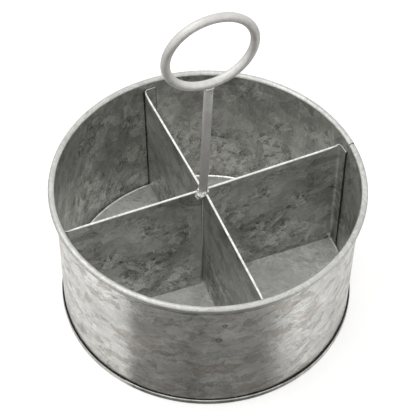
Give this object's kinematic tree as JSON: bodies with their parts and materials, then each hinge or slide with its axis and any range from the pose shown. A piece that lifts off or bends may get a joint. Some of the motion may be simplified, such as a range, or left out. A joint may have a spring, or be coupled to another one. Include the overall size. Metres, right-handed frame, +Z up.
{
  "type": "cutlery caddy",
  "caption": "Round galvanised sheet-metal cutlery caddy with a wired rim, upright dividers that part it into compartments, and a tall rod handle ending in a ring.",
  "frame": {"origin": "middle of the foot, on the plane that the caddy rests on", "axes": "+Z up through the middle of the round body; the handle's ring and two of the dividers' arms lie along X, the other two arms along Y; -Y is the front"},
  "size_m": [0.229, 0.229, 0.2789],
  "materials": {
    "wall_zinc": "galvanised, mottled spangle",
    "floor_zinc": "galvanised, mottled spangle",
    "divider_zinc": "galvanised, mottled spangle",
    "wire_steel": "bright drawn wire, hidden in the rim",
    "rod_zinc": "satin zinc",
    "weld_metal": "rippled weld bead"
  },
  "bodies": {
    "root": {"side_wall": "wall_zinc", "rim_wire": "wire_steel", "base_pan": "floor_zinc", "divider_back_left": "divider_zinc", "divider_front_right": "divider_zinc", "handle_stem": "rod_zinc", "handle_ring": "rod_zinc", "foot_weld": "weld_metal", "ring_weld": "weld_metal"}
  },
  "joints": []
}
